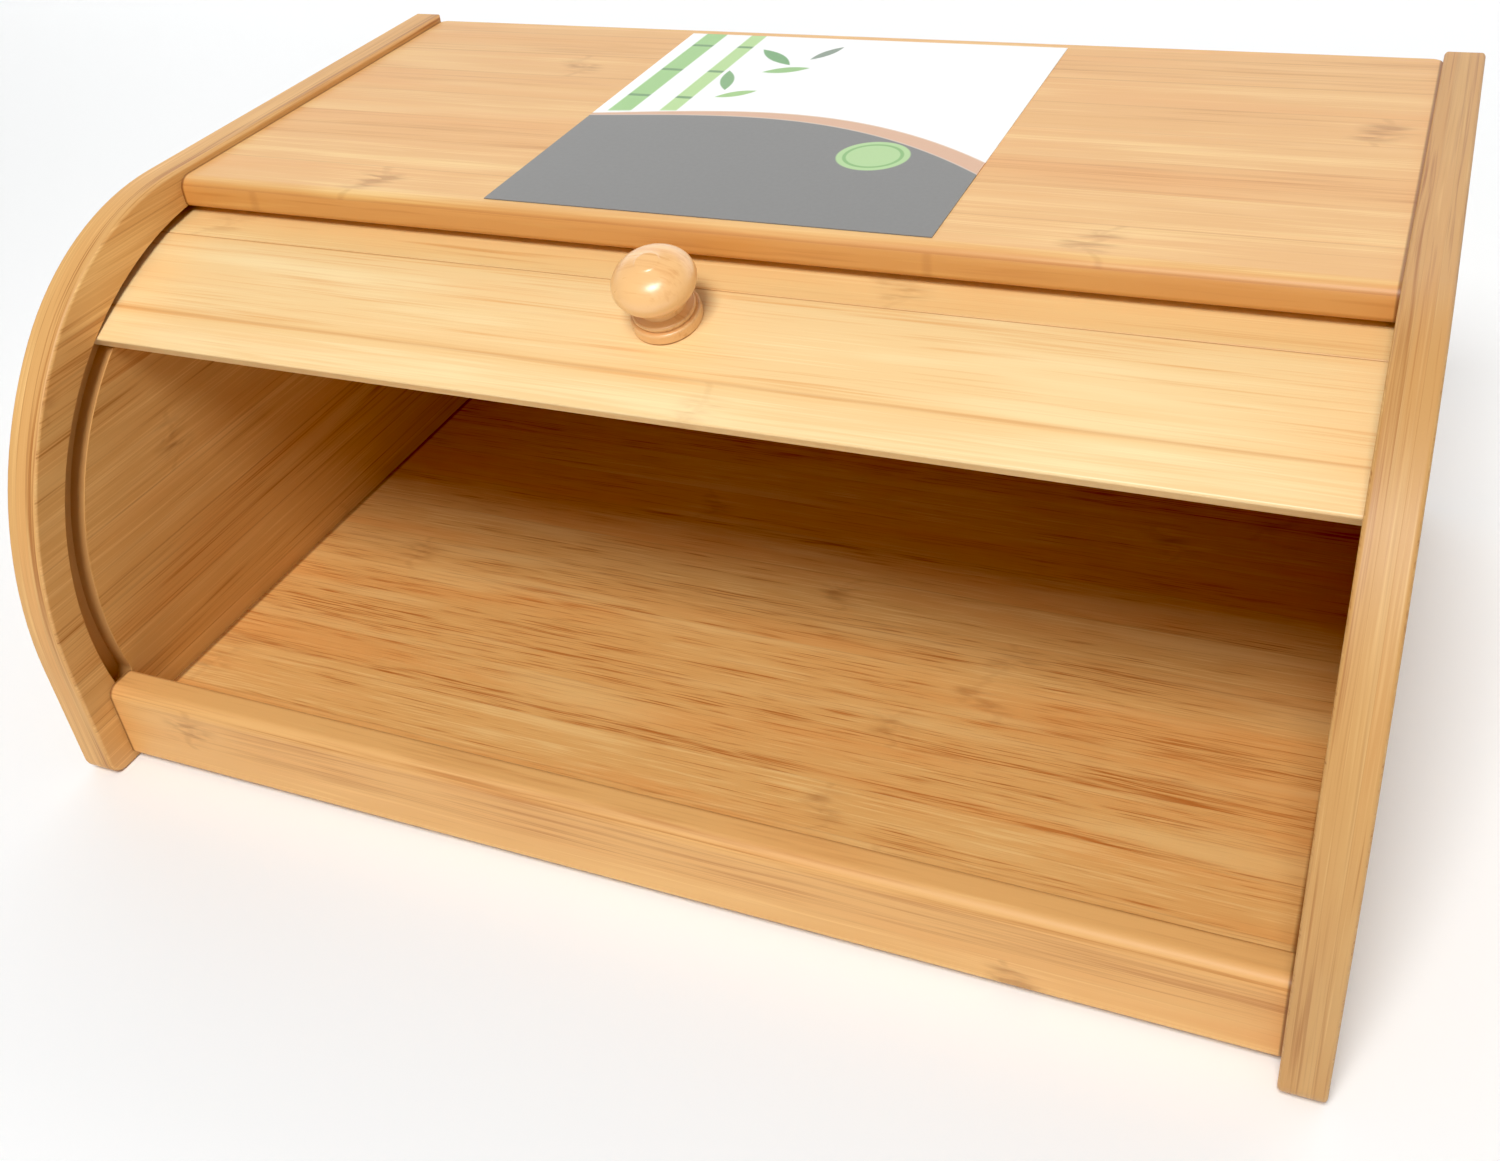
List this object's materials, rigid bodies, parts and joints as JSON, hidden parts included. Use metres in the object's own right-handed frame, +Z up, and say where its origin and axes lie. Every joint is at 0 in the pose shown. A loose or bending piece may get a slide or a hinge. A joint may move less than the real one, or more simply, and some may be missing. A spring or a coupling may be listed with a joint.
{
  "type": "roll-top bread bin",
  "caption": "Bamboo bread bin with rounded side panels and a roll-top shutter that slides in curved grooves, with a turned knob.",
  "frame": {"origin": "on the floor, under the middle of the bin", "axes": "+X to the right across the bin, -Y out of the mouth, +Z up"},
  "size_m": [0.4, 0.27, 0.1736],
  "materials": {
    "bamboo_side": "satin clear lacquer",
    "bamboo_top": "satin clear lacquer",
    "bamboo_shutter": "satin clear lacquer",
    "bamboo_base": "satin clear lacquer",
    "bamboo_rail": "satin clear lacquer",
    "bamboo_knob": "satin clear lacquer",
    "dowel_wood": "bare",
    "cotton_canvas": "plain weave",
    "zinc_steel": "zinc plated",
    "coated_paper": "satin print"
  },
  "bodies": {
    "case": {"left_side_panel": "bamboo_side", "right_side_panel": "bamboo_side", "top_board": "bamboo_top", "base_board": "bamboo_base", "back_panel": "bamboo_base", "front_rail": "bamboo_rail", "panel_dowels": "dowel_wood", "paper_leaflet": "coated_paper"},
    "shutter": {"front_slat": "bamboo_shutter", "slat_01": "bamboo_shutter", "slat_02": "bamboo_shutter", "slat_03": "bamboo_shutter", "slat_04": "bamboo_shutter", "slat_05": "bamboo_shutter", "slat_06": "bamboo_shutter", "slat_07": "bamboo_shutter", "slat_08": "bamboo_shutter", "slat_09": "bamboo_shutter", "backing_cloth": "cotton_canvas", "knob": "bamboo_knob", "knob_screw": "zinc_steel"}
  },
  "joints": [
    {"name": "shutter_roll", "type": "hinge", "parent": "case", "child": "shutter", "pos_m": [0, -0.013, 0.05075], "axis": [1, 0, 0], "range_deg": [0, 63.2]}
  ]
}
